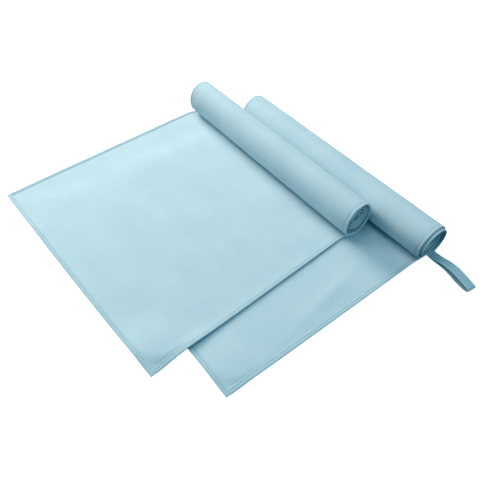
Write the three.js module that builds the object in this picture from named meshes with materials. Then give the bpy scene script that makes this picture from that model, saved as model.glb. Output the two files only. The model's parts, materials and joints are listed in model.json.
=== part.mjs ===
// A pair of thin quick-dry towels, laid out flat and partly rolled up.
//
// The lower towel lies on the table. Its far end is rolled into a coil, and a folded tape loop is
// sewn to the side hem under that roll. The upper towel lies across it, turned by a few degrees,
// with its own roll tucked against the front of the lower one.
//
// Lengths are in millimetres and +Z is up. +X runs from the free ends towards the rolls, and +Y
// runs along the rolls, away from the hang loop. The pair is drawn from the near corner of the
// lower towel and centred on its bounding box at the end.
import * as THREE from 'three';

// One towel, as cut and hemmed.
const TOWEL_WIDTH = 400;
const TOWEL_LENGTH = 900;
const CLOTH_THICKNESS = 1.0;
const HEM_WIDTH = 7;
const HEM_THICKNESS = 2.2;
const GAP = 0.3;

// The rolls. An outer wrap is a little over one turn of cloth, and the inner coil fills it.
const ROLL_RADIUS = 27.3;
const CORE_RADIUS = 5;
const BOTTOM_DEG = -90;

// The lower roll's wrap starts on the table, outside its own end, and draws in up the far side.
const LOWER_WRAP_TURN_DEG = 400;
const LOWER_WRAP_DRAW_IN_DEG = [50, 140];
const LOWER_COIL_RADIUS = 24.8;
const LOWER_COIL_SHIFT = -5;

// The upper roll's wrap is round, and its end tucks in past its own start.
const UPPER_WRAP_TURN_DEG = 372;
const UPPER_WRAP_TUCK_DEG = [225, 360];
const UPPER_WRAP_TUCK = 3.0;
const UPPER_COIL_RADIUS = 21.8;
const UPPER_COIL_SHIFT = 4;

// Where the towels lie.
const LOWER_ROLL_X = 361.6;
const LOWER_ROLL_Y = -1.5;
const UPPER_CORNER = new THREE.Vector2(-55.5, 73.8);
const UPPER_SKEW_DEG = 3.45;
const UPPER_ROLL_X = 306.5;
const UPPER_ROLL_Y = 87.5;
const UPPER_LEVEL = HEM_THICKNESS + GAP;
const FLAP_LENGTH = 105;

// The hang loop, a woven tape folded double.
const TAPE_WIDTH = 15;
const TAPE_THICKNESS = 1.0;
const TAPE_LIFT = 0.15;
const TAPE_PLY_GAP = 0.2;
const LOOP_YAW_DEG = 8;
const LOOP_ROOT_FROM_ROLL_X = 8.2;
const LOOP_ROOT_CLEARANCE = 1.9;
const TAB_LENGTH = 3.6;
const BAR_TACK = new THREE.Vector3(1.8, 8, 0.6);

const radians = THREE.MathUtils.degToRad;

function cloth(color, roughness) {
  return new THREE.MeshStandardMaterial({ color, roughness, metalness: 0, side: THREE.DoubleSide });
}

const materials = {
  upperCloth: cloth(0xc2dde6, 0.92),
  lowerCloth: cloth(0xa9cdd8, 0.92),
  hem: cloth(0xb2d3dc, 0.85),
  tape: cloth(0x7ba7b9, 0.8),
  thread: cloth(0xbfdbe2, 0.6),
};

function solid(name, material, geometry) {
  const mesh = new THREE.Mesh(geometry, material);
  mesh.name = name;
  return mesh;
}

// A closed outline from a list of [x, y] pairs.
function outline(points) {
  return new THREE.Shape(points.map(([x, y]) => new THREE.Vector2(x, y)));
}

function extrude(shape, depth) {
  return new THREE.ExtrudeGeometry(shape, { depth, bevelEnabled: false, steps: 1 });
}

// A flat slab of cloth with the given corners, lying from height z upwards.
function slab(name, material, corners, z, thickness) {
  const mesh = solid(name, material, extrude(outline(corners), thickness));
  mesh.position.z = z;
  return mesh;
}

// A shape drawn in the X-Z plane, drawn out along +Y from yLow to yHigh.
function alongRoll(name, material, shape, yLow, yHigh) {
  const mesh = solid(name, material, extrude(shape, yHigh - yLow));
  mesh.rotation.x = Math.PI / 2;
  mesh.position.y = yHigh;
  return mesh;
}

// The section of a layer of cloth that turns about the roll's axis. outerRadius(angle) is its
// outer face, angle counts from the bottom of the roll up the far side, and the thickness lies
// inwards.
function layerSection(outerRadius, thickness, fromDeg, toDeg, stepDeg) {
  const steps = Math.ceil((toDeg - fromDeg) / stepDeg);
  const outer = [];
  const inner = [];
  for (let i = 0; i <= steps; i += 1) {
    const angle = fromDeg + ((toDeg - fromDeg) * i) / steps;
    const direction = radians(BOTTOM_DEG + angle);
    const radius = outerRadius(angle);
    outer.push([radius * Math.cos(direction), radius * Math.sin(direction)]);
    inner.push([(radius - thickness) * Math.cos(direction), (radius - thickness) * Math.sin(direction)]);
  }
  return outline([...outer, ...inner.reverse()]);
}

// How far a change that is spread over a range of angles has gone at this one, from 0 to 1.
function shareOf([fromDeg, toDeg], angle) {
  return THREE.MathUtils.smoothstep(angle, fromDeg, toDeg);
}

const lowerRoll = {
  prefix: 'lower',
  cloth: materials.lowerCloth,
  centre: new THREE.Vector2(LOWER_ROLL_X, HEM_THICKNESS + GAP + ROLL_RADIUS),
  yStart: LOWER_ROLL_Y,
  turnDeg: LOWER_WRAP_TURN_DEG,
  wrapRadius(angle) {
    return ROLL_RADIUS + (HEM_THICKNESS + GAP) * (1 - shareOf(LOWER_WRAP_DRAW_IN_DEG, angle));
  },
  coilRadius: LOWER_COIL_RADIUS,
  coilShift: LOWER_COIL_SHIFT,
};

const upperRoll = {
  prefix: 'upper',
  cloth: materials.upperCloth,
  centre: new THREE.Vector2(UPPER_ROLL_X, UPPER_LEVEL + HEM_THICKNESS + GAP + ROLL_RADIUS),
  yStart: UPPER_ROLL_Y,
  turnDeg: UPPER_WRAP_TURN_DEG,
  wrapRadius(angle) {
    return ROLL_RADIUS - UPPER_WRAP_TUCK * shareOf(UPPER_WRAP_TUCK_DEG, angle);
  },
  coilRadius: UPPER_COIL_RADIUS,
  coilShift: UPPER_COIL_SHIFT,
};

// The length of cloth in a roll's outer wrap, summed in steps of one degree.
function lengthOfWrap(roll) {
  let length = 0;
  for (let angle = 0; angle < roll.turnDeg; angle += 1) {
    length += radians(1) * (roll.wrapRadius(angle + 0.5) - CLOTH_THICKNESS / 2);
  }
  return length;
}

// The outer wrap: the cloth and a hem at each end of the roll.
function outerWrap(roll) {
  const { prefix, yStart } = roll;
  const yEnd = yStart + TOWEL_WIDTH;
  const section = (thickness) => layerSection(roll.wrapRadius, thickness, 0, roll.turnDeg, 7.5);
  const hem = section(HEM_THICKNESS);
  const group = new THREE.Group();
  group.add(
    alongRoll(
      `${prefix}_outer_wrap`, roll.cloth, section(CLOTH_THICKNESS),
      yStart + HEM_WIDTH + GAP, yEnd - HEM_WIDTH - GAP,
    ),
    alongRoll(`${prefix}_wrap_right_hem`, materials.hem, hem, yStart, yStart + HEM_WIDTH),
    alongRoll(`${prefix}_wrap_left_hem`, materials.hem, hem, yEnd - HEM_WIDTH, yEnd),
  );
  return group;
}

// The inner coil: what is left of the towel's length, wound at an even pitch down to the core,
// with the towel's second end hem as its innermost edge.
function innerCoil(roll, clothLeft) {
  const { prefix } = roll;
  const yStart = roll.yStart + roll.coilShift;
  const yEnd = yStart + TOWEL_WIDTH;
  const meanRadius = roll.coilRadius - CLOTH_THICKNESS / 2;
  const pitch = (Math.PI * (meanRadius ** 2 - CORE_RADIUS ** 2)) / clothLeft;
  const startDeg = roll.turnDeg - 360;
  const coreDeg = startDeg + (360 * (meanRadius - CORE_RADIUS)) / pitch;
  const coreGapDeg = THREE.MathUtils.radToDeg(GAP / CORE_RADIUS);
  const coreHemDeg = THREE.MathUtils.radToDeg(HEM_WIDTH / CORE_RADIUS);
  const endDeg = coreDeg + coreGapDeg + coreHemDeg;
  const radiusAt = (angle) => roll.coilRadius - (pitch * (angle - startDeg)) / 360;
  const section = (thickness, from, to) => layerSection(radiusAt, thickness, from, to, 15);
  const yInnerLow = yStart + HEM_WIDTH + GAP;
  const yInnerHigh = yEnd - HEM_WIDTH - GAP;
  const sideHem = section(HEM_THICKNESS, startDeg, endDeg);
  const group = new THREE.Group();
  group.add(
    alongRoll(
      `${prefix}_inner_coil`, roll.cloth, section(CLOTH_THICKNESS, startDeg, coreDeg),
      yInnerLow, yInnerHigh,
    ),
    alongRoll(
      `${prefix}_core_hem`, materials.hem, section(HEM_THICKNESS, coreDeg + coreGapDeg, endDeg),
      yInnerLow, yInnerHigh,
    ),
    alongRoll(`${prefix}_coil_right_hem`, materials.hem, sideHem, yStart, yStart + HEM_WIDTH),
    alongRoll(`${prefix}_coil_left_hem`, materials.hem, sideHem, yEnd - HEM_WIDTH, yEnd),
  );
  return group;
}

// A whole roll. flatLength is how much of the towel lies flat, measured along its middle.
function rolledEnd(roll, flatLength) {
  const group = new THREE.Group();
  group.add(outerWrap(roll), innerCoil(roll, TOWEL_LENGTH - flatLength - lengthOfWrap(roll)));
  group.position.set(roll.centre.x, 0, roll.centre.y);
  return group;
}

// A stretch of flat towel between two places along its length. Each end is given as a function
// of the place across the towel, so that an end can run along a roll that lies askew.
function flatStretch(names, clothMaterial, level, startAt, endAt) {
  const innerLow = HEM_WIDTH + GAP;
  const innerHigh = TOWEL_WIDTH - HEM_WIDTH - GAP;
  const strip = (low, high) => [
    [startAt(low), low],
    [endAt(low), low],
    [endAt(high), high],
    [startAt(high), high],
  ];
  return [
    slab(names.panel, clothMaterial, strip(innerLow, innerHigh), level, CLOTH_THICKNESS),
    slab(names.rightHem, materials.hem, strip(0, HEM_WIDTH), level, HEM_THICKNESS),
    slab(names.leftHem, materials.hem, strip(TOWEL_WIDTH - HEM_WIDTH, TOWEL_WIDTH), level, HEM_THICKNESS),
  ];
}

// The hem across a free end, over the whole width.
function endHem(name, level) {
  const corners = [
    [0, 0],
    [HEM_WIDTH, 0],
    [HEM_WIDTH, TOWEL_WIDTH],
    [0, TOWEL_WIDTH],
  ];
  return slab(name, materials.hem, corners, level, HEM_THICKNESS);
}

// The side view of the folded tape, from the root of the lower ply out to the fold and back
// along the upper ply. The first number is the distance from the root, the second the height.
function loopCentreline() {
  const lowerRoot = TAPE_LIFT + TAPE_THICKNESS / 2;
  const upperRoot = lowerRoot + TAPE_THICKNESS + TAPE_PLY_GAP;
  const points = [
    [0, lowerRoot], [10, 1.7], [21, 4.3], [31, 5.0], [40.5, 3.4], [50, 1.2], [59, lowerRoot],
    [65.5, 0.75], [70, 2.4], [71.5, 5.2], [68.5, 7.9],
    [60, 10.2], [48.5, 12.2], [37, 12.4], [25, 9.8], [12, 4.8], [0, upperRoot],
  ];
  return new THREE.SplineCurve(points.map(([x, y]) => new THREE.Vector2(x, y)));
}

// A strip of even thickness about a centreline in a plane.
function stripSection(curve, thickness, steps) {
  const left = [];
  const right = [];
  for (let i = 0; i <= steps; i += 1) {
    const point = curve.getPoint(i / steps);
    const tangent = curve.getTangent(i / steps);
    const normal = new THREE.Vector2(-tangent.y, tangent.x).multiplyScalar(thickness / 2);
    left.push([point.x + normal.x, point.y + normal.y]);
    right.push([point.x - normal.x, point.y - normal.y]);
  }
  return outline([...left, ...right.reverse()]);
}

// The free part of the hang loop, the short tab where it leaves the hem, and the bar tack on it.
// Inside this group +X points out of the roll along the tape and +Y across it.
function hangLoop() {
  const group = new THREE.Group();
  const side = stripSection(loopCentreline(), TAPE_THICKNESS, 48);
  const loop = solid('lower_hang_loop', materials.tape, extrude(side, TAPE_WIDTH));
  loop.rotation.x = Math.PI / 2;
  loop.position.y = TAPE_WIDTH / 2;

  const tabHeight = 2 * TAPE_THICKNESS + TAPE_PLY_GAP;
  const tabBox = new THREE.BoxGeometry(TAB_LENGTH, TAPE_WIDTH, tabHeight);
  const tab = solid('lower_loop_tab', materials.tape, tabBox);
  tab.position.set(-GAP - TAB_LENGTH / 2, 0, TAPE_LIFT + tabHeight / 2);

  const tack = solid('lower_loop_bar_tack', materials.thread, new THREE.BoxGeometry(...BAR_TACK));
  tack.position.set(tab.position.x, 0, TAPE_LIFT + tabHeight + GAP + BAR_TACK.z / 2);

  group.add(loop, tab, tack);
  group.rotation.z = radians(-90 - LOOP_YAW_DEG);
  const rootY = LOWER_ROLL_Y - TAB_LENGTH - LOOP_ROOT_CLEARANCE;
  group.position.set(LOWER_ROLL_X + LOOP_ROOT_FROM_ROLL_X, rootY, 0);
  return group;
}

function lowerTowel() {
  const group = new THREE.Group();
  const names = { panel: 'lower_flat_panel', rightHem: 'lower_right_hem', leftHem: 'lower_left_hem' };
  const start = () => HEM_WIDTH + GAP;
  const end = () => LOWER_ROLL_X - GAP;
  group.add(endHem('lower_free_end_hem', 0));
  group.add(...flatStretch(names, materials.lowerCloth, 0, start, end));
  group.add(rolledEnd(lowerRoll, LOWER_ROLL_X), hangLoop());
  return group;
}

function upperTowel() {
  const group = new THREE.Group();
  const skew = radians(UPPER_SKEW_DEG);
  const reach = UPPER_ROLL_X - UPPER_CORNER.x;
  const rollLine = (across) => (reach + across * Math.sin(skew)) / Math.cos(skew);

  const flat = new THREE.Group();
  const flapNames = {
    panel: 'upper_flap_panel', rightHem: 'upper_flap_right_hem', leftHem: 'upper_flap_left_hem',
  };
  const flatNames = { panel: 'upper_flat_panel', rightHem: 'upper_right_hem', leftHem: 'upper_left_hem' };
  flat.add(endHem('upper_flap_end_hem', UPPER_LEVEL));
  flat.add(...flatStretch(
    flapNames, materials.upperCloth, UPPER_LEVEL, () => HEM_WIDTH + GAP, () => FLAP_LENGTH - GAP / 2,
  ));
  flat.add(...flatStretch(
    flatNames, materials.upperCloth, UPPER_LEVEL, () => FLAP_LENGTH + GAP / 2, rollLine,
  ));
  flat.position.set(UPPER_CORNER.x, UPPER_CORNER.y, 0);
  flat.rotation.z = skew;
  group.add(flat);

  group.add(rolledEnd(upperRoll, rollLine(TOWEL_WIDTH / 2)));
  return group;
}

// The origin is at the middle of the pair's box, at the level of the table.
function centredOnTable(assembly) {
  assembly.updateMatrixWorld(true);
  const box = new THREE.Box3().setFromObject(assembly, true);
  const centre = box.getCenter(new THREE.Vector3());
  assembly.position.set(-centre.x, -centre.y, -box.min.z);
  return assembly;
}

const towelPair = new THREE.Group();
towelPair.add(lowerTowel(), upperTowel());

export default centredOnTable(towelPair);
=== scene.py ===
import json
import math

import bpy
import numpy as np
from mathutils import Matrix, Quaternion, Vector


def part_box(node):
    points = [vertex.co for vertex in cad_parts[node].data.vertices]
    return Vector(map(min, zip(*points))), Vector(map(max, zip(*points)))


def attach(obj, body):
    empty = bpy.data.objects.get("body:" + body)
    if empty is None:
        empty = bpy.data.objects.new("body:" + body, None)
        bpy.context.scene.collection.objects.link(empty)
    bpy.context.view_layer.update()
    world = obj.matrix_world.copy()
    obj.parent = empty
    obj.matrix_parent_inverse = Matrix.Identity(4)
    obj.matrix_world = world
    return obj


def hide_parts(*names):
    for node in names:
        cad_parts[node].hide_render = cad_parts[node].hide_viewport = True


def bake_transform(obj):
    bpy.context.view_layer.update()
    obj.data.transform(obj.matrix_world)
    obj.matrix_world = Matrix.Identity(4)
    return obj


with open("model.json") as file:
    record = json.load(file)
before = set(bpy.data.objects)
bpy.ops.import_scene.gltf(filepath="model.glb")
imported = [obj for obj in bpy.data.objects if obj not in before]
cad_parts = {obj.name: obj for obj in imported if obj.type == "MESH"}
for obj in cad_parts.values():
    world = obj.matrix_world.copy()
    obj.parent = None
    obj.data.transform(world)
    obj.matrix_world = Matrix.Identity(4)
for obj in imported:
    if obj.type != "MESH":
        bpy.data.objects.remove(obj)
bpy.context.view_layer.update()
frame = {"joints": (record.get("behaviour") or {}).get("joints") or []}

# A pair of thin microfibre towels, one lying across the other, each with its far end rolled up.
# Lengths are in metres and angles in radians unless a name says otherwise. Every towel is drawn in
# its own measures: t runs along it from the free end and v across it from its right-hand edge.

JOINTS = {joint["name"]: joint for joint in frame["joints"]}
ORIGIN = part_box("lower_free_end_hem")[0]

# One towel, as cut and hemmed.
TOWEL_WIDTH = 0.400
TOWEL_LENGTH = 0.900
CLOTH = 0.0009
HEM_WIDTH = 0.007
FLAT_HEM_THICKNESS = 0.0015
ROLL_HEM_THICKNESS = 0.0022
SEAM_FROM_EDGE = 0.0048
STITCH_PITCH = 0.0030
STITCH_LENGTH = 0.0023
STITCH_RADIUS = 0.00026
STITCH_TIP_SHARE = 0.35
STITCH_SINK = 0.00028
STITCH_END_SINK = 0.00025
THREAD_SIDES = np.radians(np.arange(0, 360, 60))
HEM_GROOVE = 0.00035
END_HEM_INSET = 0.0006
TOUCH_GAP = 0.0004

# The places v of a towel's two long edges.
RIGHT = 0.0
LEFT = TOWEL_WIDTH

# The upper towel lies askew, and its free end is made as a piece of its own, cut off along a line across
# it.
UPPER_SKEW = math.radians(3.45)
UPPER_CORNER = (-0.0555, 0.0738)
UPPER_EDGE_LEAN = 0.005
LEAN_REACH = 0.12
FLAP_PIECE_LENGTH = 0.110
FOLD_ROWS_START = 0.098

# How the flat cloth stands off what lies beneath it.
LOWER_SLACK = 0.00035
LOWER_CREASE = 0.0011
LOWER_CORNER_PUFF = 0.0022
UPPER_SLACK = 0.00030
UPPER_EDGE_LIFT = 0.0005
UPPER_END_CURL = 0.0022
UPPER_CORNER_PUFF = 0.0036
CORNER_REACH = (0.028, 0.095)

# The rolls: the outer wrap's outer face, and the coil that fills it. A narrowing is a share of the
# towel's width.
LOWER_WRAP_RADIUS = 0.0274
UPPER_WRAP_HALF_WIDTH = 0.0258
UPPER_WRAP_HALF_HEIGHT = 0.0296
UPPER_WRAP_TUCK = 0.0024
UPPER_WRAP_NARROWING = 0.0085
UPPER_WRAP_SHIFT = 0.0010
UPPER_TUCK_DEG = (270, 352)
UPPER_REST = 0.0026
LOWER_SETTLED_DEG = (50, 140)
UPPER_SETTLED_DEG = (40, 130)
WRAP_SWELL = 0.00035
FRONT_BULGE = 0.0020
FRONT_BULGE_DEG = (313, 19)
LOWER_TURN_DEG = 352
UPPER_TURN_DEG = 360
LOWER_RING_RADII = (0.0247, 0.0168, 0.0112, 0.0066, 0.0028)
UPPER_RING_RADII = (0.0220, 0.0182, 0.0134, 0.0086, 0.0038)
LOWER_RING_STEP = (0.84, 1.18)
UPPER_RING_STEP = (0.35, 1.05)
COIL_HEM_THICKNESS = 0.0015
COIL_RECESS_TURNS = (0.55, 1.6)
LOWER_COIL_RECESS = 0.0050
UPPER_COIL_RECESS = 0.0010
UPPER_COIL_NARROWING = 0.014
COIL_MEAN_RADIUS = 0.015
CORE_RADIUS = 0.005
ROLL_LEAD = 0.026

# The hang loop's tape.
TAPE_WIDTH = 0.0150
TAPE_THICKNESS = 0.0010
TAPE_MIDDLE_SHARE = 0.86
TAPE_EDGE_WIDTH = 0.0016

# How finely the cloth is divided.
FINE_STEP = 0.0011
FLAT_STEP = 0.0032
ACROSS_STEP = 0.0034
WRAP_STEP_DEG = 2.5
COIL_STEP_DEG = 5


# ---------------------------------------------------------------------------- small mathematics


def smoothstep(x, low, high):
    share = np.clip((x - low) / (high - low), 0.0, 1.0)
    return share * share * (3.0 - 2.0 * share)


def mix(a, b, share):
    return a + (b - a) * share


def bump(x, middle, width):
    return np.exp(-(((x - middle) / width) ** 2))


def waves(x, y, seed, wavelength, count=9):
    """A smooth random surface of about -1 to 1: plane waves of many lengths and directions."""
    random = np.random.default_rng(seed)
    total = 0.0
    for _ in range(count):
        heading = random.uniform(0, 2 * math.pi)
        length = wavelength * random.uniform(0.6, 1.8)
        phase = random.uniform(0, 2 * math.pi)
        across = x * math.cos(heading) + y * math.sin(heading)
        total = total + np.sin(across * 2 * math.pi / length + phase)
    return total * 1.4 / count


def steps(low, high, step):
    """Evenly spaced places from low to high, about step apart."""
    return np.linspace(low, high, max(2, round((high - low) / step) + 1))


# ---------------------------------------------------------------------------- surfaces of cloth


class Towel:
    """The flat part of a towel and the outer wrap of its roll. underside(t, v) is the face that lies
    down in the flat part, which is the outside of the roll. radius(angle) is the roll's outer face,
    height(x, y, t, v) is how high the flat part lies, lean draws back the free end's left corner,
    and narrowing is the share of its width that the roll lacks."""

    # How far along the whole towel t = 0 is, so that a coil's texture runs on from its wrap's.
    uv_start = 0.0

    def __init__(
        self, corner, skew, axis, roll_y, radius, turn_deg, height, lean=0.0, narrowing=0.0,
    ):
        self.corner = corner
        self.narrowing = narrowing
        self.skew = skew
        self.axis_x, self.axis_z = axis
        self.roll_y = roll_y
        self.radius = radius
        self.height = height
        self.lean = lean
        self.angles = np.radians(np.arange(0, turn_deg + 1, 1.0))
        x, z = self.section(self.angles)
        lengths = np.hypot(np.diff(x), np.diff(z))
        self.arcs = np.concatenate([[0.0], np.cumsum(lengths)])

    def section(self, angle):
        """The roll's outer face in side view. The angle starts at the bottom and rises on the far side."""
        radius = self.radius(angle)
        return self.axis_x + radius * np.sin(angle), self.axis_z - radius * np.cos(angle)

    def tangent(self, v):
        """The length t at which the cloth leaves the flat and starts up the roll."""
        reach = self.axis_x - self.corner[0] + v * math.sin(self.skew)
        return reach / math.cos(self.skew)

    def wrap_length(self):
        return self.arcs[-1]

    def hem_thickness(self, t, v):
        """The hem is pressed flat where it lies, and stands fuller round the roll."""
        rolled = smoothstep(t - self.tangent(v), -0.03, 0.02)
        return mix(FLAT_HEM_THICKNESS, ROLL_HEM_THICKNESS, rolled)

    def underside(self, t, v):
        beyond = t - self.tangent(v)
        flat_t = np.minimum(t, self.tangent(v))
        x_flat = self.corner[0] + flat_t * math.cos(self.skew) - v * math.sin(self.skew)
        y_flat = self.corner[1] + flat_t * math.sin(self.skew) + v * math.cos(self.skew)
        x_lean = self.lean * (v / TOWEL_WIDTH) ** 2 * (1 - smoothstep(t, 0, LEAN_REACH))
        angle = np.interp(np.maximum(beyond, 0.0), self.arcs, self.angles)
        x_roll, z_roll = self.section(angle)
        swell = WRAP_SWELL * waves(angle * self.axis_z, v, seed=5, wavelength=0.09)
        swell = swell * smoothstep(beyond, 0, 0.02)
        x_roll = x_roll + swell * np.sin(angle)
        z_roll = z_roll - swell * np.cos(angle)
        settling = smoothstep(beyond, -ROLL_LEAD, 0.0)
        x = np.where(beyond > 0, x_roll, x_flat + x_lean)
        y = mix(y_flat, self.roll_y + v * (1 - self.narrowing), settling)
        z = mix(self.height(x_flat, y_flat, t, v), z_roll, settling)
        return np.stack([x, y, z], axis=-1)


class Coil:
    """The cloth inside a roll, wound at an even pitch from the wrap's end down to the core."""

    def __init__(self, towel, ring_radii, ring_step, cloth_left, shift, recess, narrowing):
        self.towel = towel
        self.ring_radii = ring_radii
        self.ring_step = ring_step
        self.shift = shift
        self.recess = recess
        self.narrowing = narrowing
        self.uv_start = TOWEL_LENGTH - cloth_left
        self.start = towel.angles[-1] - 2 * math.pi
        most = 2 * math.pi * (len(ring_radii) - 1)
        angles = np.arange(0, most, math.radians(1.0))
        lengths = self.radius(angles[1:]) * math.radians(1.0)
        arcs = np.concatenate([[0.0], np.cumsum(lengths)])
        used = arcs <= cloth_left
        self.angles = angles[used]
        self.arcs = arcs[used]

    def radius(self, turned):
        """The outer face. Each turn is nearly round, and steps in to the next across the bottom."""
        turn = turned / (2 * math.pi)
        radius = self.ring_radii[0]
        for ring, drop in enumerate(np.diff(self.ring_radii)):
            radius = radius + drop * smoothstep(turn - ring, *self.ring_step)
        return radius

    def length(self):
        return self.arcs[-1]

    def hem_thickness(self, t, v):
        return COIL_HEM_THICKNESS

    def underside(self, t, v):
        turned = np.interp(t, self.arcs, self.angles)
        beyond = np.maximum(t - self.arcs[-1], 0.0)
        radius = self.radius(turned)
        angle = self.start + turned + beyond / CORE_RADIUS
        x = self.towel.axis_x + radius * np.sin(angle)
        z = self.towel.axis_z - radius * np.cos(angle)
        recess = self.recess * smoothstep(turned / (2 * math.pi), *COIL_RECESS_TURNS)
        y = self.towel.roll_y + self.shift + recess + v * (1 - self.narrowing)
        return np.stack([x, y, z], axis=-1)


def lifted(surface, t, v, lift):
    """The point that lies lift above the underside, which on a roll means nearer its axis."""
    t, v, lift = np.broadcast_arrays(t, v, lift)
    step = 0.0003
    along = surface.underside(t + step, v) - surface.underside(t - step, v)
    across = surface.underside(t, v + step) - surface.underside(t, v - step)
    normal = np.cross(along, across)
    normal /= np.linalg.norm(normal, axis=-1, keepdims=True)
    return surface.underside(t, v) + normal * lift[..., None]


# ---------------------------------------------------------------------------- meshes


def new_object(name, points, faces, uv=None):
    """A mesh object from points in the layout's frame, smooth except at its sharp edges."""
    mesh = bpy.data.meshes.new(name)
    placed = points.reshape(-1, 3) + np.array([ORIGIN.x, ORIGIN.y, 0.0])
    mesh.from_pydata(placed.tolist(), [], faces)
    mesh.polygons.foreach_set("use_smooth", [True] * len(mesh.polygons))
    if uv is not None:
        layer = mesh.uv_layers.new(name="cloth")
        corner_points = np.zeros(len(mesh.loops), dtype=np.int32)
        mesh.loops.foreach_get("vertex_index", corner_points)
        layer.data.foreach_set("uv", uv.reshape(-1, 2)[corner_points].astype(np.float32).ravel())
    mesh.set_sharp_from_angle(angle=math.radians(55))
    mesh.validate()
    piece = bpy.data.objects.new(name, mesh)
    bpy.context.scene.collection.objects.link(piece)
    return piece


def quads(a, b):
    """Faces between two rows of point numbers."""
    return [(a[i], b[i], b[i + 1], a[i + 1]) for i in range(len(a) - 1)]


def closed_sheet(name, surface, t, v):
    """A sheet of cloth with two faces and four edges. t and v are grids of the same shape."""
    rows, columns = t.shape
    top = lifted(surface, t, v, CLOTH)
    bottom = lifted(surface, t, v, 0.0)
    numbers = np.arange(rows * columns).reshape(rows, columns)
    under = numbers + rows * columns
    faces = []
    for i in range(rows - 1):
        faces += quads(numbers[i].tolist(), numbers[i + 1].tolist())
        faces += quads(under[i + 1].tolist(), under[i].tolist())
    faces += quads(under[0].tolist(), numbers[0].tolist())
    faces += quads(numbers[-1].tolist(), under[-1].tolist())
    faces += quads(numbers[:, 0].tolist(), under[:, 0].tolist())
    faces += quads(under[:, -1].tolist(), numbers[:, -1].tolist())
    uv = np.stack([np.stack([surface.uv_start + t, v], axis=-1)] * 2)
    return new_object(name, np.stack([top, bottom]), faces, uv)


def tube_faces(rings, around):
    """Faces of a closed tube of rings, with its two ends."""
    numbers = np.arange(rings * around).reshape(rings, around)
    ring = np.concatenate([numbers, numbers[:, :1]], axis=1)
    faces = []
    for i in range(rings - 1):
        faces += quads(ring[i].tolist(), ring[i + 1].tolist())
    faces.append(tuple(numbers[0].tolist()))
    faces.append(tuple(reversed(numbers[-1].tolist())))
    return faces


def swept(name, points, uv):
    """A closed section carried along a path: points[row, place round the section]."""
    return new_object(name, points, tube_faces(*points.shape[:2]), uv)


def hem_profile():
    """The hem's section. Each point is (distance in from the edge, share of the hem's thickness, height
    added to that): a rounded folded edge, padded cloth, and a groove on both faces at the seam."""
    groove = [(-0.0010, 0.0), (-0.0005, 0.6), (0.0, 1.0), (0.0005, 0.6), (0.0010, 0.0)]
    top = [(0.0022, 1.0, 0.00005)]
    top += [(SEAM_FROM_EDGE + q, 1.0, -HEM_GROOVE * share) for q, share in groove]
    top += [(HEM_WIDTH - 0.0006, 0.85, 0.0), (HEM_WIDTH, 0.0, CLOTH)]
    bottom = [(HEM_WIDTH, 0.0, 0.0)]
    bottom += [(SEAM_FROM_EDGE - q, 0.0, HEM_GROOVE * 0.7 * share) for q, share in groove]
    bottom += [(0.0022, 0.0, 0.0)]
    turn = np.radians(np.linspace(-90, 90, 9))
    half = ROLL_HEM_THICKNESS / 2
    edge = [(half - half * math.cos(a), 0.5 + 0.5 * math.sin(a), 0.0) for a in turn]
    return np.array(top + bottom + edge)


def stitch_points():
    """One stitch lying along its seam, as (along, across, up): rings round a slightly arched thread."""
    rings = []
    for share in (-1.0, -0.8, -0.3, 0.3, 0.8, 1.0):
        radius = STITCH_RADIUS * (STITCH_TIP_SHARE if abs(share) == 1.0 else 1.0)
        sink = STITCH_END_SINK * share**4
        rings.append([
            (share * STITCH_LENGTH / 2, radius * math.cos(a), radius * math.sin(a) - sink)
            for a in THREAD_SIDES
        ])
    return np.array(rings)


def run_of_stitches(name, surface, starts, place, inside):
    """Stitches along a seam, on the inner or the outer face of the hem. place(distance, across) gives
    the (t, v) of a point of the seam."""
    template = stitch_points()
    rings, around = template.shape[:2]
    one_stitch = tube_faces(rings, around)
    along, across = np.broadcast_arrays(
        starts[:, None, None] + template[None, :, :, 0], template[None, :, :, 1]
    )
    t, v = place(along, across)
    if inside:
        lift = surface.hem_thickness(t, v) - STITCH_SINK + template[None, :, :, 2]
    else:
        lift = STITCH_SINK - template[None, :, :, 2]
        one_stitch = [tuple(reversed(face)) for face in one_stitch]
    faces = []
    for i in range(len(starts)):
        offset = i * rings * around
        faces += [tuple(number + offset for number in face) for face in one_stitch]
    uv = np.stack([surface.uv_start + t, v], axis=-1)
    return new_object(name, lifted(surface, t, v, lift), faces, uv)


# ---------------------------------------------------------------------------- materials


# The base colours. Each material goes from its deep one to its pale one.
CLOTH_PALE = (0.525, 0.700, 0.770)
CLOTH_DEEP = (0.450, 0.640, 0.715)
# The hem's pale colour is also the painted highlight on its fold round the rolls.
HEM_PALE_AND_HIGHLIGHT = (0.720, 0.880, 0.915)
HEM_DEEP = (0.360, 0.545, 0.625)
TAPE_PALE_AND_HIGHLIGHT = (0.600, 0.800, 0.850)
TAPE_DEEP = (0.430, 0.660, 0.740)
THREAD_PALE = (0.560, 0.735, 0.785)
THREAD_DEEP = (0.430, 0.620, 0.690)

# Where along the towel the hem's fold gets a painted highlight, and the strip of it, in from the edge,
# where that painted highlight is strongest.
HEM_HIGHLIGHT_ALONG = (0.31, 0.37)
HEM_HIGHLIGHT_FROM_EDGE = 0.0018
HEM_HIGHLIGHT_WIDTH = 0.0011

# The tape's weave, and its bound edges as distances in from each side; the bound edges are painted paler,
# a painted highlight along the tape's edges.
RIB_PITCH = 0.0011
WARP_PITCH = 0.0009
SELVEDGE_INNER = 0.0014
SELVEDGE_OUTER = 0.0006


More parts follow.
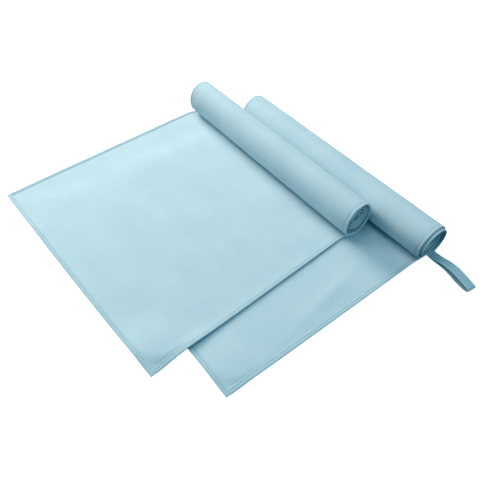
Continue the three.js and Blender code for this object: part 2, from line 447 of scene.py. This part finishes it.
class Shader:
    """A short way to write a node tree."""

    def __init__(self, name):
        self.material = bpy.data.materials.new(name)
        self.material.use_nodes = True
        self.tree = self.material.node_tree
        self.surface = self.tree.nodes["Principled BSDF"]

    def node(self, kind, **settings):
        node = self.tree.nodes.new(kind)
        for name, value in settings.items():
            setattr(node, name, value)
        return node

    def link(self, source, target):
        self.tree.links.new(source, target)

    def cloth_place(self):
        """The place on the cloth in metres: along it, and across it."""
        return self.node("ShaderNodeUVMap", uv_map="cloth").outputs["UV"]

    def noise(self, place, scale, detail, roughness=0.5, stretch=(1, 1, 1)):
        mapping = self.node("ShaderNodeMapping")
        mapping.inputs["Scale"].default_value = stretch
        self.link(place, mapping.inputs["Vector"])
        noise = self.node("ShaderNodeTexNoise")
        noise.inputs["Scale"].default_value = scale
        noise.inputs["Detail"].default_value = detail
        noise.inputs["Roughness"].default_value = roughness
        self.link(mapping.outputs["Vector"], noise.inputs["Vector"])
        return noise.outputs["Fac"]

    def mapped(self, value, low, high, from_low=0.0, from_high=1.0):
        node = self.node("ShaderNodeMapRange")
        self.link(value, node.inputs["Value"])
        for name, number in (
            ("From Min", from_low),
            ("From Max", from_high),
            ("To Min", low),
            ("To Max", high),
        ):
            node.inputs[name].default_value = number
        return node.outputs["Result"]

    def maths(self, operation, a, b):
        node = self.node("ShaderNodeMath", operation=operation)
        for socket, value in zip(node.inputs, (a, b)):
            if isinstance(value, (int, float)):
                socket.default_value = value
            else:
                self.link(value, socket)
        return node.outputs["Value"]

    def between(self, share, first, second):
        """A colour between two colours."""
        node = self.node("ShaderNodeMix", data_type="RGBA")
        self.link(share, node.inputs["Factor"])
        node.inputs["A"].default_value = (*first, 1)
        node.inputs["B"].default_value = (*second, 1)
        return node.outputs["Result"]

    def finish(self, colour, roughness, height, distance, strength, sheen, sheen_roughness):
        self.link(colour, self.surface.inputs["Base Color"])
        self.link(roughness, self.surface.inputs["Roughness"])
        bump_node = self.node("ShaderNodeBump")
        bump_node.inputs["Distance"].default_value = distance
        bump_node.inputs["Strength"].default_value = strength
        self.link(height, bump_node.inputs["Height"])
        self.link(bump_node.outputs["Normal"], self.surface.inputs["Normal"])
        self.surface.inputs["Sheen Weight"].default_value = sheen
        self.surface.inputs["Sheen Roughness"].default_value = sheen_roughness
        self.surface.inputs["Specular IOR Level"].default_value = 0.25
        return self.material


def microfibre(name, pale, deep):
    """Brushed microfibre: a short nap that lies in soft patches, over a very fine knit."""
    shader = Shader(name)
    place = shader.cloth_place()
    patches = shader.noise(place, scale=22, detail=3, roughness=0.55, stretch=(1, 0.7, 1))
    streaks = shader.noise(place, scale=160, detail=4, roughness=0.6, stretch=(0.35, 1.6, 1))
    fibres = shader.noise(place, scale=1900, detail=3, roughness=0.7)
    share = shader.maths(
        "ADD", shader.maths("MULTIPLY", patches, 0.65), shader.maths("MULTIPLY", streaks, 0.35)
    )
    colour = shader.between(shader.mapped(share, 0.0, 1.0, 0.32, 0.68), deep, pale)
    roughness = shader.mapped(fibres, 0.82, 0.97)
    height = shader.maths("ADD", shader.maths("MULTIPLY", streaks, 0.45), fibres)
    return shader.finish(
        colour, roughness, height, distance=0.00035, strength=0.30, sheen=0.25, sheen_roughness=0.45,
    )


def hem_cloth(name, pale, deep):
    """The folded edge: the same microfibre, pressed flatter, with puckers drawn in by the seam. Where the
    hem bends round a roll its fold is painted paler, a painted highlight for the light that the rounded
    fold catches."""
    shader = Shader(name)
    place = shader.cloth_place()
    split = shader.node("ShaderNodeSeparateXYZ")
    shader.link(place, split.inputs["Vector"])
    from_middle = shader.maths(
        "ABSOLUTE", shader.maths("SUBTRACT", split.outputs["Y"], TOWEL_WIDTH / 2), 0.0
    )
    fold_start = TOWEL_WIDTH / 2 - HEM_HIGHLIGHT_FROM_EDGE
    fold = shader.mapped(from_middle, 0.10, 0.95, fold_start, fold_start + HEM_HIGHLIGHT_WIDTH)
    rolled = shader.mapped(split.outputs["X"], 0.0, 1.0, *HEM_HIGHLIGHT_ALONG)
    puckers = shader.noise(place, scale=210, detail=2)
    fibres = shader.noise(place, scale=1900, detail=3, roughness=0.7)
    # Painted highlight: the fold of the hem round the rolls is painted paler, standing in for light caught
    # by the fold.
    painted_fold_highlight = shader.maths("MULTIPLY", fold, rolled)
    share = shader.maths("ADD", shader.mapped(puckers, 0.0, 0.25), painted_fold_highlight)
    colour = shader.between(share, deep, pale)
    roughness = shader.mapped(fibres, 0.78, 0.92)
    height = shader.maths("ADD", shader.maths("MULTIPLY", puckers, 1.4), fibres)
    return shader.finish(
        colour, roughness, height, distance=0.00035, strength=0.35, sheen=0.2, sheen_roughness=0.45,
    )


def woven_tape(name, pale, deep):
    """Flat woven tape: ribs across it, crossed by fine warp threads along it."""
    shader = Shader(name)
    place = shader.cloth_place()
    split = shader.node("ShaderNodeSeparateXYZ")
    shader.link(place, split.inputs["Vector"])
    along_ribs = shader.maths("MULTIPLY", split.outputs["X"], 2 * math.pi / RIB_PITCH)
    ribs = shader.maths("SINE", along_ribs, 0.0)
    across_warp = shader.maths("MULTIPLY", split.outputs["Y"], 2 * math.pi / WARP_PITCH)
    warp = shader.maths("SINE", across_warp, 0.0)
    weave = shader.maths("MULTIPLY", ribs, warp)
    wear = shader.noise(place, scale=240, detail=3, roughness=0.6)
    tone = shader.maths("ADD", shader.mapped(weave, 0.0, 0.5, -1, 1), shader.maths("MULTIPLY", wear, 0.6))
    off_middle = shader.maths("ABSOLUTE", split.outputs["Y"], 0.0)
    half = TAPE_WIDTH / 2
    # Painted highlight: the woven bound edges are painted paler, standing in for light caught along the
    # tape's edges.
    selvedge_highlight = shader.mapped(off_middle, 0.0, 0.45, half - SELVEDGE_INNER, half - SELVEDGE_OUTER)
    colour = shader.between(shader.maths("ADD", shader.mapped(tone, 0.1, 0.6), selvedge_highlight), deep, pale)
    roughness = shader.mapped(wear, 0.62, 0.8)
    height = shader.maths("ADD", shader.maths("MULTIPLY", ribs, 0.6), weave)
    return shader.finish(
        colour, roughness, height, distance=0.00018, strength=0.5, sheen=0.12, sheen_roughness=0.4,
    )


def sewing_thread(name, pale, deep):
    """Twisted polyester thread."""
    shader = Shader(name)
    place = shader.cloth_place()
    twist = shader.noise(place, scale=2600, detail=2)
    colour = shader.between(twist, deep, pale)
    roughness = shader.mapped(twist, 0.45, 0.62)
    return shader.finish(
        colour, roughness, twist, distance=0.0001, strength=0.4, sheen=0.05, sheen_roughness=0.4,
    )


MATERIALS = {
    "microfibre_cloth": microfibre("microfibre_cloth", CLOTH_PALE, CLOTH_DEEP),
    "sewn_hem": hem_cloth("sewn_hem", HEM_PALE_AND_HIGHLIGHT, HEM_DEEP),
    "loop_tape": woven_tape("loop_tape", TAPE_PALE_AND_HIGHLIGHT, TAPE_DEEP),
    "sewing_thread": sewing_thread("sewing_thread", THREAD_PALE, THREAD_DEEP),
}


def dress(piece, slot):
    piece.data.materials.append(MATERIALS[slot])
    return piece


# ---------------------------------------------------------------------------- the two towels


def layout_axis(joint):
    """Where a roll's axis stands in the layout's frame, as (x, z)."""
    x, _, z = JOINTS[joint]["pos_m"]
    return x - ORIGIN.x, z


def corner_puff(t, v, height):
    """The slack near a corner. It stands up inside the hems, falls to a crease along them, and the tip
    of the corner droops to the table."""
    near = t * v / (t + v + 1e-6)
    fade = (1 - smoothstep(t, *CORNER_REACH)) * (1 - smoothstep(v, *CORNER_REACH))
    puff = smoothstep(near, 0.0050, 0.0082)
    droop = smoothstep(t + v, 0.004, 0.046)
    return height * (0.30 * puff + 0.80 * droop) * fade


def lower_height(x, y, t, v):
    """On the table, with one long low crease near the right-hand edge. The place on the table, (x, y),
    makes no difference here, as it does for the upper towel."""
    slack = LOWER_SLACK * (1 + waves(t, v, seed=11, wavelength=0.085)) * smoothstep(v, 0.0, 0.02)
    creases = LOWER_CREASE * bump(v, 0.008 + 0.128 * t, 0.011) * bump(t, 0.195, 0.060)
    return slack + creases + corner_puff(t, v, LOWER_CORNER_PUFF)


def front_bulge(angle):
    """The weight of the roll pushes its lower front out over the flat cloth."""
    return FRONT_BULGE * bump(np.degrees(angle), *FRONT_BULGE_DEG)


def lower_radius(angle):
    resting = LOWER_AXIS[1] - LOWER_WRAP_RADIUS
    settled = resting * (1 - smoothstep(np.degrees(angle), *LOWER_SETTLED_DEG))
    return LOWER_WRAP_RADIUS + settled + front_bulge(angle)


def upper_height(x, y, t, v):
    """Over the lower towel, whose hems hold it up, and down on the table some way past its edges."""
    inside = np.minimum(x, TOWEL_WIDTH - y)
    hem_rise = (FLAT_HEM_THICKNESS - CLOTH) * (1 - smoothstep(inside, 0.008, 0.050))
    below = lower_height(x, y, np.maximum(x, 0.0), np.minimum(y, TOWEL_WIDTH))
    beneath = (CLOTH + hem_rise + below) * (1 - smoothstep(-inside, 0.001, 0.048))
    slack = UPPER_SLACK * (1 + waves(t, v, seed=23, wavelength=0.10))
    lift = UPPER_EDGE_LIFT + 0.0012 * bump(t, 0.075, 0.035) + 0.0003 * bump(t, 0.165, 0.035)
    lifted_edge = lift * (1 - smoothstep(v, 0.0, 0.020)) * smoothstep(t, 0.022, 0.055)
    curl = UPPER_END_CURL * bump(v, 0.305, 0.026) * (1 - smoothstep(t, 0.0, 0.014))
    return beneath + TOUCH_GAP + slack + lifted_edge + curl + corner_puff(t, v, UPPER_CORNER_PUFF)


def upper_radius(angle):
    across = np.sin(angle) / UPPER_WRAP_HALF_WIDTH
    upright = np.cos(angle) / UPPER_WRAP_HALF_HEIGHT
    oval = 1 / np.hypot(across, upright)
    resting = UPPER_AXIS[1] - UPPER_REST - UPPER_WRAP_HALF_HEIGHT
    degrees = np.degrees(angle)
    tuck = UPPER_WRAP_TUCK * smoothstep(degrees, *UPPER_TUCK_DEG)
    settled = resting * (1 - smoothstep(degrees, *UPPER_SETTLED_DEG))
    return oval + settled - tuck + front_bulge(angle)


LOWER_AXIS = layout_axis("lower_coil_turn")
UPPER_AXIS = layout_axis("upper_coil_turn")
LOWER_ROLL_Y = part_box("lower_wrap_right_hem")[0].y - ORIGIN.y
UPPER_ROLL_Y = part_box("upper_wrap_right_hem")[0].y - ORIGIN.y

lower = Towel((0.0, 0.0), 0.0, LOWER_AXIS, LOWER_ROLL_Y, lower_radius, LOWER_TURN_DEG, lower_height)
upper = Towel(
    UPPER_CORNER, UPPER_SKEW, UPPER_AXIS, UPPER_ROLL_Y + UPPER_WRAP_SHIFT, upper_radius,
    UPPER_TURN_DEG, upper_height, UPPER_EDGE_LEAN, UPPER_WRAP_NARROWING,
)


def flat_length(towel):
    return towel.tangent(TOWEL_WIDTH / 2)


def coil_of(towel, ring_radii, ring_step, shift, recess, narrowing):
    cloth_left = TOWEL_LENGTH - flat_length(towel) - towel.wrap_length()
    return Coil(towel, ring_radii, ring_step, cloth_left, shift, recess, narrowing)


LOWER_COIL_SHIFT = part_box("lower_coil_right_hem")[0].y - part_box("lower_wrap_right_hem")[0].y
UPPER_COIL_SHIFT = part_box("upper_coil_right_hem")[0].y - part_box("upper_wrap_right_hem")[0].y
lower_coil = coil_of(
    lower, LOWER_RING_RADII, LOWER_RING_STEP, LOWER_COIL_SHIFT, LOWER_COIL_RECESS, 0.0,
)
upper_coil = coil_of(
    upper, UPPER_RING_RADII, UPPER_RING_STEP, UPPER_COIL_SHIFT, UPPER_COIL_RECESS,
    UPPER_COIL_NARROWING,
)


def stretch_rows(towel, v, start):
    """The lengths t at each place v, from start, along the flat and round the wrap."""
    rounds = np.linspace(0, towel.wrap_length(), round(np.degrees(towel.angles[-1]) / WRAP_STEP_DEG))
    shares = np.linspace(0, 1, round((flat_length(towel) - start) / FLAT_STEP))
    flat = start + shares[:, None] * (towel.tangent(v)[None, :] - start)
    wrap = towel.tangent(v)[None, :] + rounds[1:, None]
    return np.concatenate([flat, wrap])


def across_places():
    return steps(HEM_WIDTH, TOWEL_WIDTH - HEM_WIDTH, ACROSS_STEP)


def side_hem(name, surface, rows_at, edge):
    """A hem down one side. edge is RIGHT or LEFT."""
    profile = hem_profile() if edge == RIGHT else hem_profile()[::-1]
    v = np.abs(edge - profile[:, 0])
    t = rows_at(v)
    grid_v = np.broadcast_to(v, t.shape)
    height = profile[:, 1] * surface.hem_thickness(t, grid_v) + profile[:, 2]
    points = lifted(surface, t, grid_v, height)
    return swept(name, points, np.stack([surface.uv_start + t, grid_v], axis=-1))


def end_hem(name, surface, end, at_start):
    """A hem across one end of the towel, over its whole width."""
    profile = hem_profile()[::-1] if at_start else hem_profile()
    t = end + (profile[:, 0] if at_start else -profile[:, 0])
    v = steps(END_HEM_INSET, TOWEL_WIDTH - END_HEM_INSET, ACROSS_STEP)
    grid_t = np.broadcast_to(t, (len(v), len(t)))
    grid_v = np.broadcast_to(v[:, None], grid_t.shape)
    height = profile[:, 1] * surface.hem_thickness(grid_t, grid_v) + profile[:, 2]
    points = lifted(surface, grid_t, grid_v, height)
    return swept(name, points, np.stack([surface.uv_start + grid_t, grid_v], axis=-1))


def side_stitches(name, surface, start, end, edge, both_faces=True):
    """The seam along a side hem, on its outer face or on both faces of the cloth."""
    starts = np.arange(start, end, STITCH_PITCH)
    seam = abs(edge - SEAM_FROM_EDGE)

    def place(along, across):
        return along, seam + across

    made = [run_of_stitches(f"{name}_outside", surface, starts, place, False)]
    if both_faces:
        made.append(run_of_stitches(f"{name}_inside", surface, starts, place, True))
    for piece in made:
        dress(piece, "sewing_thread")
    return made


def blended(piece, names, start_x, end_x):
    """Bakes the piece's placement into its mesh; the cloth between a flat part and its roll does not
    stretch or shrink as the roll moves."""
    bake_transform(piece)


# The bodies at the two ends of such cloth, and where it starts and ends along x.
LOWER_BLEND = (("lower_towel", "lower_roll"), 0.020, 0.330)
UPPER_BLEND = (("upper_towel", "upper_roll"), 0.060, 0.276)


def main_stretch(prefix, towel, start, blending):
    """The flat part and the wrap: the cloth, its two side hems, and their seams."""
    def rows_at(v):
        return stretch_rows(towel, v, start)

    v = across_places()
    t = rows_at(v)
    grid_v = np.broadcast_to(v, t.shape)
    cloth = dress(closed_sheet(f"{prefix}_cloth", towel, t, grid_v), "microfibre_cloth")
    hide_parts(f"{prefix}_flat_panel", f"{prefix}_outer_wrap")
    hems = []
    for side, edge in (("right", RIGHT), ("left", LEFT)):
        hem = dress(side_hem(f"{prefix}_{side}_hem_fold", towel, rows_at, edge), "sewn_hem")
        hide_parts(f"{prefix}_{side}_hem", f"{prefix}_wrap_{side}_hem")
        end = towel.tangent(abs(edge - SEAM_FROM_EDGE)) + towel.wrap_length() - STITCH_PITCH
        seams = side_stitches(f"{prefix}_{side}_seam", towel, start + STITCH_PITCH, end, edge)
        hems += [hem, *seams]
    for piece in [cloth, *hems]:
        blended(piece, *blending)
    length = flat_length(towel) - start + towel.wrap_length()


def free_end(prefix, towel):
    """The hem across a towel's free end."""
    hem = dress(end_hem(f"{prefix}_free_end_fold", towel, 0.0, True), "sewn_hem")
    starts = np.arange(SEAM_FROM_EDGE, TOWEL_WIDTH - SEAM_FROM_EDGE, STITCH_PITCH)

    def place(along, across):
        return SEAM_FROM_EDGE - across, along

    made = [hem]
    for label, inside in (("inside", True), ("outside", False)):
        seam = run_of_stitches(f"{prefix}_free_end_seam_{label}", towel, starts, place, inside)
        made.append(dress(seam, "sewing_thread"))
    return made


def coil_pieces(prefix, coil):
    """The cloth of the coil, its side hems, and the hem that is its innermost edge."""
    body = f"{prefix}_coil"
    core_start = coil.length() - HEM_WIDTH
    rows = steps(0.0, core_start, 2 * math.pi * COIL_MEAN_RADIUS * COIL_STEP_DEG / 360)

    def rows_at(v):
        return np.broadcast_to(rows[:, None], (len(rows), len(v)))

    v = across_places()
    t = rows_at(v)
    grid_v = np.broadcast_to(v, t.shape)
    cloth = dress(closed_sheet(f"{prefix}_coil_cloth", coil, t, grid_v), "microfibre_cloth")
    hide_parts(f"{prefix}_inner_coil")
    extras = []
    for side, edge in (("right", RIGHT), ("left", LEFT)):
        hem = dress(side_hem(f"{prefix}_coil_{side}_fold", coil, rows_at, edge), "sewn_hem")
        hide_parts(f"{prefix}_coil_{side}_hem")
        seam_name = f"{prefix}_coil_{side}_seam"
        seams = side_stitches(seam_name, coil, STITCH_PITCH, core_start, edge, both_faces=False)
        extras += [hem, *seams]
    core = dress(end_hem(f"{prefix}_core_fold", coil, coil.length(), False), "sewn_hem")
    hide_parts(f"{prefix}_core_hem")
    extras.append(core)
    for piece in [cloth, *extras]:
        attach(piece, body)
    coil.length()


def lower_towel():
    main_stretch("lower", lower, HEM_WIDTH, LOWER_BLEND)
    made = free_end("lower", lower)
    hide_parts("lower_free_end_hem")
    for piece in made:
        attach(piece, "lower_towel")
    coil_pieces("lower", lower_coil)


def flap_rows(v):
    """The flap's rows, close together towards the line where it is cut off from the rest of the towel."""
    coarse = steps(HEM_WIDTH, FOLD_ROWS_START, FLAT_STEP)
    fine = steps(FOLD_ROWS_START, FLAP_PIECE_LENGTH, FINE_STEP)
    rows = np.concatenate([coarse, fine[1:]])
    return np.broadcast_to(rows[:, None], (len(rows), len(v)))


def upper_flap():
    v = across_places()
    t = flap_rows(v)
    cloth = closed_sheet("upper_flap_cloth", upper, t, np.broadcast_to(v, t.shape))
    dress(cloth, "microfibre_cloth")
    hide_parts("upper_flap_panel")
    extras = []
    for side, edge in (("right", RIGHT), ("left", LEFT)):
        hem = dress(side_hem(f"upper_flap_{side}_fold", upper, flap_rows, edge), "sewn_hem")
        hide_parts(f"upper_flap_{side}_hem")
        seam_start = HEM_WIDTH + STITCH_PITCH / 2
        seams = side_stitches(f"upper_flap_{side}_seam", upper, seam_start, FLAP_PIECE_LENGTH, edge)
        extras += [hem, *seams]
    ends = free_end("upper_flap", upper)
    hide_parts("upper_flap_end_hem")
    extras += ends
    for piece in [cloth, *extras]:
        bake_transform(piece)


def upper_towel():
    upper_flap()
    main_stretch("upper", upper, FLAP_PIECE_LENGTH, UPPER_BLEND)
    coil_pieces("upper", upper_coil)


# ---------------------------------------------------------------------------- the hang loop

# The tape's side view as (distance out from its root, height), down the middle of the tape: out
# along the lower ply, round the fold, and back along the upper ply.
LOOP_SIDE_VIEW = [
    (0.0000, 0.00065), (0.0100, 0.0014), (0.0210, 0.0032), (0.0310, 0.0038), (0.0405, 0.0028),
    (0.0500, 0.0012), (0.0590, 0.00065), (0.0665, 0.00075), (0.0716, 0.0022), (0.0734, 0.0046),
    (0.0706, 0.0068), (0.0615, 0.0084), (0.0490, 0.0100), (0.0370, 0.0103), (0.0250, 0.0083),
    (0.0120, 0.0043), (0.0000, 0.00185),
]
LOOP_STEPS_PER_SPAN = 14
TAB_IN_HEM = 0.0065
TAB_STEP = 0.0005
PLY_HEIGHTS = (0.00065, 0.00185)

# The bar tack's zigzag of thread.
TACK_STITCHES = 16
TACK_WIDTH = 0.008
TACK_ZIGZAG = 0.0007
TACK_THREAD_RADIUS = 0.00022
TACK_SINK = 0.00028
TACK_RISE = 0.0001


def through(points, per_span):
    """A smooth curve through points, a Catmull-Rom spline."""
    points = np.array(points)
    padded = np.concatenate([[2 * points[0] - points[1]], points, [2 * points[-1] - points[-2]]])
    share = np.linspace(0, 1, per_span, endpoint=False)[:, None]
    made = []
    for a, b, c, d in zip(padded, padded[1:], padded[2:], padded[3:]):
        made.append(
            b + 0.5 * share * (c - a + share * (2 * a - 5 * b + 4 * c - d + share * (3 * (b - c) + d - a)))
        )
    return np.concatenate([*made, points[-1:]])


def tape_profile():
    """The tape's section as (across, up), with slightly thicker woven edges."""
    half = TAPE_WIDTH / 2
    thick = TAPE_THICKNESS / 2
    edge = np.radians(np.linspace(-90, 90, 7))
    right = [(half - thick + thick * math.cos(a), thick * math.sin(a)) for a in edge]
    inner = thick * TAPE_MIDDLE_SHARE
    top = [(x, inner) for x in np.linspace(half - TAPE_EDGE_WIDTH, -half + TAPE_EDGE_WIDTH, 9)]
    left = [(-x, -z) for x, z in right]
    bottom = [(-x, -z) for x, z in top]
    return np.array(right + top + left + bottom)


def tape_strip(name, line):
    """Tape along a line in the side view, placed at the loop's root on the lower roll."""
    joint = JOINTS["hang_loop_lift"]
    root = Vector(joint["pos_m"]) - ORIGIN
    side = np.array([joint["axis"][0], joint["axis"][1]])
    out = np.array([-side[1], side[0]])
    profile = tape_profile()
    tangent = np.gradient(line, axis=0)
    tangent /= np.linalg.norm(tangent, axis=1, keepdims=True)
    normal = np.stack([-tangent[:, 1], tangent[:, 0]], axis=1)
    lengths = np.linalg.norm(np.diff(line, axis=0), axis=1)
    travelled = np.concatenate([[0.0], np.cumsum(lengths)])
    distance = line[:, None, 0] + normal[:, None, 0] * profile[None, :, 1]
    height = line[:, None, 1] + normal[:, None, 1] * profile[None, :, 1]
    across = np.broadcast_to(profile[None, :, 0], distance.shape)
    x = root.x + out[0] * distance + side[0] * across
    y = root.y + out[1] * distance + side[1] * across
    uv = np.stack([np.broadcast_to(travelled[:, None], across.shape), across], axis=-1)
    return dress(swept(name, np.stack([x, y, height], axis=-1), uv), "loop_tape"), travelled[-1]


def hang_loop():
    loop, length = tape_strip("lower_hang_loop_tape", through(LOOP_SIDE_VIEW, LOOP_STEPS_PER_SPAN))
    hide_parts("lower_hang_loop")
    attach(loop, "hang_loop")
    for label, height in zip(("lower", "upper"), PLY_HEIGHTS):
        distances = steps(-TAB_IN_HEM, 0.0, TAB_STEP)
        line = np.stack([distances, np.full(len(distances), height)], axis=1)
        tab, _ = tape_strip(f"lower_loop_tab_{label}_ply", line)
        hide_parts("lower_loop_tab")
        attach(tab, "lower_roll")


def bar_tack():
    """A short row of close zigzag stitches that holds the folded tape in the hem."""
    low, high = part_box("lower_loop_bar_tack")
    middle = (low + high) / 2 - ORIGIN
    side = Vector(JOINTS["hang_loop_lift"]["axis"])
    out = Vector((-side.y, side.x, 0.0))
    line = []
    for i in range(TACK_STITCHES + 1):
        odd = i % 2 == 1
        across = TACK_WIDTH * (i / TACK_STITCHES - 0.5)
        step_out = TACK_ZIGZAG * (1 if odd else -1)
        height = low.z - TACK_SINK + (0.0 if odd else TACK_RISE)
        line.append(Vector((middle.x, middle.y, height)) + side * across + out * step_out)
    line = np.array(line)
    up = np.array([0.0, 0.0, 1.0])
    tangent = np.gradient(line, axis=0)
    tangent /= np.linalg.norm(tangent, axis=1, keepdims=True)
    beside = np.cross(up, tangent)
    cosines = np.cos(THREAD_SIDES)[None, :, None]
    sines = np.sin(THREAD_SIDES)[None, :, None]
    rings = line[:, None] + TACK_THREAD_RADIUS * (beside[:, None] * cosines + up * sines)
    tack = dress(swept("lower_bar_tack_thread", rings, rings[..., :2]), "sewing_thread")
    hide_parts("lower_loop_bar_tack")
    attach(tack, "lower_roll")


# ---------------------------------------------------------------------------- studio


CAMERA_TARGET = (0.0071, -0.0255, 0.0)
CAMERA_AZIMUTH_DEG = -39.90
CAMERA_ELEVATION_DEG = 48.37
CAMERA_ROLL_DEG = 2.61
CAMERA_DISTANCE = 0.7429
CAMERA_LENS_MM = 37.8

FLOOR_SIDES = 48
FLOOR_RADIUS = 3.0
FLOOR_BEND = 1.5
FLOOR_DROP = 0.0003
WALL_TOP = 6.0
STAGE_GLOW = 0.85

# Each soft box's name, place, side and power in watts. All of them face the middle of the floor.
SOFT_BOXES = (
    ("key", (0.00, 1.90, 0.89), 0.9, 49),
    ("left", (-0.68, 1.17, 1.61), 0.9, 12),
    ("top", (0.00, 0.25, 2.00), 0.9, 9),
    ("ends", (0.45, -1.40, 1.15), 0.5, 2.5),
)
KEY_COLOUR = (1.0, 0.84, 0.73)
AMBIENT_COLOUR = (0.03, 0.68, 1.0)
AMBIENT_LEVEL = 0.10
AMBIENT_OVERHEAD = 0.48


def camera():
    azimuth = math.radians(CAMERA_AZIMUTH_DEG)
    elevation = math.radians(CAMERA_ELEVATION_DEG)
    roll = math.radians(CAMERA_ROLL_DEG)
    back = Vector((
        math.sin(azimuth) * math.cos(elevation), -math.cos(azimuth) * math.cos(elevation),
        math.sin(elevation),
    ))
    data = bpy.data.cameras.new("camera")
    data.sensor_width = 36
    data.lens = CAMERA_LENS_MM
    data.clip_start = 0.01
    view = bpy.data.objects.new("camera", data)
    view.location = Vector(CAMERA_TARGET) + back * CAMERA_DISTANCE
    view.rotation_mode = "QUATERNION"
    view.rotation_quaternion = (-back).to_track_quat("-Z", "Y") @ Quaternion((0, 0, 1), roll)
    bpy.context.scene.collection.objects.link(view)
    bpy.context.scene.camera = view


def white_stage(name, points, faces):
    """A plain white piece of the studio that only the camera sees: it doesn't tint the towels."""
    mesh = bpy.data.meshes.new(name)
    mesh.from_pydata(points, [], faces)
    piece = bpy.data.objects.new(name, mesh)
    bpy.context.scene.collection.objects.link(piece)
    shader = Shader(name)
    shader.surface.inputs["Base Color"].default_value = (0.88, 0.88, 0.88, 1)
    shader.surface.inputs["Roughness"].default_value = 0.9
    shader.surface.inputs["Specular IOR Level"].default_value = 0.0
    shader.surface.inputs["Emission Color"].default_value = (1, 1, 1, 1)
    shader.surface.inputs["Emission Strength"].default_value = STAGE_GLOW
    mesh.materials.append(shader.material)
    piece.visible_diffuse = False
    piece.visible_shadow = False


def floor():
    """A pale round floor with a wall that curves up out of it."""
    around = FLOOR_SIDES
    section = [(0.5, 0.0)]
    for a in np.radians(np.linspace(0, 90, 10)):
        section.append((FLOOR_RADIUS + FLOOR_BEND * math.sin(a), FLOOR_BEND - FLOOR_BEND * math.cos(a)))
    section.append((FLOOR_RADIUS + FLOOR_BEND, WALL_TOP))
    points = [
        (radius * math.cos(turn), radius * math.sin(turn), height - FLOOR_DROP)
        for radius, height in section
        for turn in np.radians(np.arange(around) * 360 / around)
    ]
    faces = [tuple(range(around))]
    for ring in range(len(section) - 1):
        for i in range(around):
            low = ring * around
            high = low + around
            j = (i + 1) % around
            faces.append((low + i, high + i, high + j, low + j))
    white_stage("studio_floor", points, faces)


def soft_box(name, place, side, power):
    data = bpy.data.lights.new(name, "AREA")
    data.shape = "RECTANGLE"
    data.size = side
    data.size_y = side
    data.energy = power
    data.color = KEY_COLOUR
    lamp = bpy.data.objects.new(name, data)
    lamp.location = place
    lamp.rotation_mode = "QUATERNION"
    lamp.rotation_quaternion = (Vector((0, 0, 0)) - Vector(place)).to_track_quat("-Z", "Y")
    bpy.context.scene.collection.objects.link(lamp)


def ambient_light():
    """Cool light from all round, strongest from overhead, so that narrow gaps go dark."""
    world = bpy.data.worlds.new("studio")
    world.use_nodes = True
    nodes = world.node_tree.nodes
    direction = nodes.new("ShaderNodeTexCoord")
    split = nodes.new("ShaderNodeSeparateXYZ")
    rise = nodes.new("ShaderNodeMapRange")
    rise.inputs["To Min"].default_value = AMBIENT_LEVEL
    rise.inputs["To Max"].default_value = AMBIENT_OVERHEAD
    background = nodes["Background"]
    background.inputs["Color"].default_value = (*AMBIENT_COLOUR, 1)
    for source, target in (
        (direction.outputs["Generated"], split.inputs["Vector"]),
        (split.outputs["Z"], rise.inputs["Value"]),
        (rise.outputs["Result"], background.inputs["Strength"]),
    ):
        world.node_tree.links.new(source, target)
    bpy.context.scene.world = world


def lights():
    for box in SOFT_BOXES:
        soft_box(*box)
    ambient_light()
    bpy.context.scene.view_settings.view_transform = "Standard"


camera()
lower_towel()
upper_towel()
hang_loop()
bar_tack()
floor()
lights()
